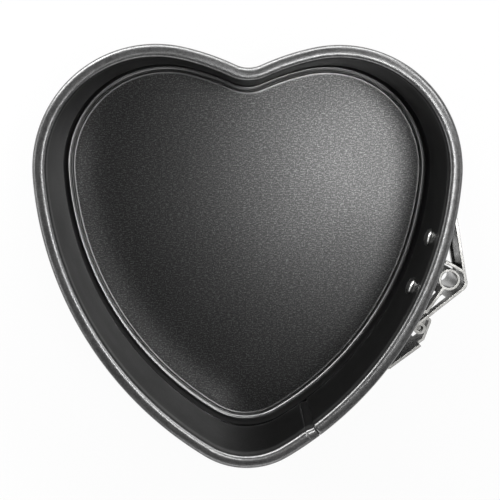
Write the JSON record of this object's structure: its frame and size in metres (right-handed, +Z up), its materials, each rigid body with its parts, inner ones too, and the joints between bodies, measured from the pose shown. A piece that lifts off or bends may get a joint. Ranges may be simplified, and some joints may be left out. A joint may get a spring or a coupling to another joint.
{
  "type": "heart springform pan",
  "caption": "Heart-shaped springform cake pan: side band with a rolled rim and a foot groove, loose pressed base plate and a snap-over lever latch on the outside.",
  "frame": {"origin": "under the middle of the heart's length, on its line of symmetry, at the surface the pan stands on", "axes": "+Z up out of the pan, +Y from the tip towards the cleft, +X towards the side with the latch"},
  "size_m": [0.1112, 0.1082, 0.045],
  "materials": {
    "coated_steel": "satin dark non-stick coating on sheet steel",
    "coated_steel_base": "dark non-stick coating with a fine linen texture",
    "plated_steel": "bright plated strip steel",
    "rivet_steel": "bright rivet heads"
  },
  "bodies": {
    "pan": {"side_band": "coated_steel", "base_plate": "coated_steel_base", "keeper": "plated_steel", "keeper_rivets": "rivet_steel", "lever_bracket": "plated_steel", "hinge_pin": "plated_steel"},
    "lever": {"lever": "plated_steel"}
  },
  "joints": [
    {"name": "lever_swing", "type": "hinge", "parent": "pan", "child": "lever", "pos_m": [0.04496, -0.01838, 0.0295], "axis": [0, 0, -1], "range_deg": [0, 125]}
  ]
}
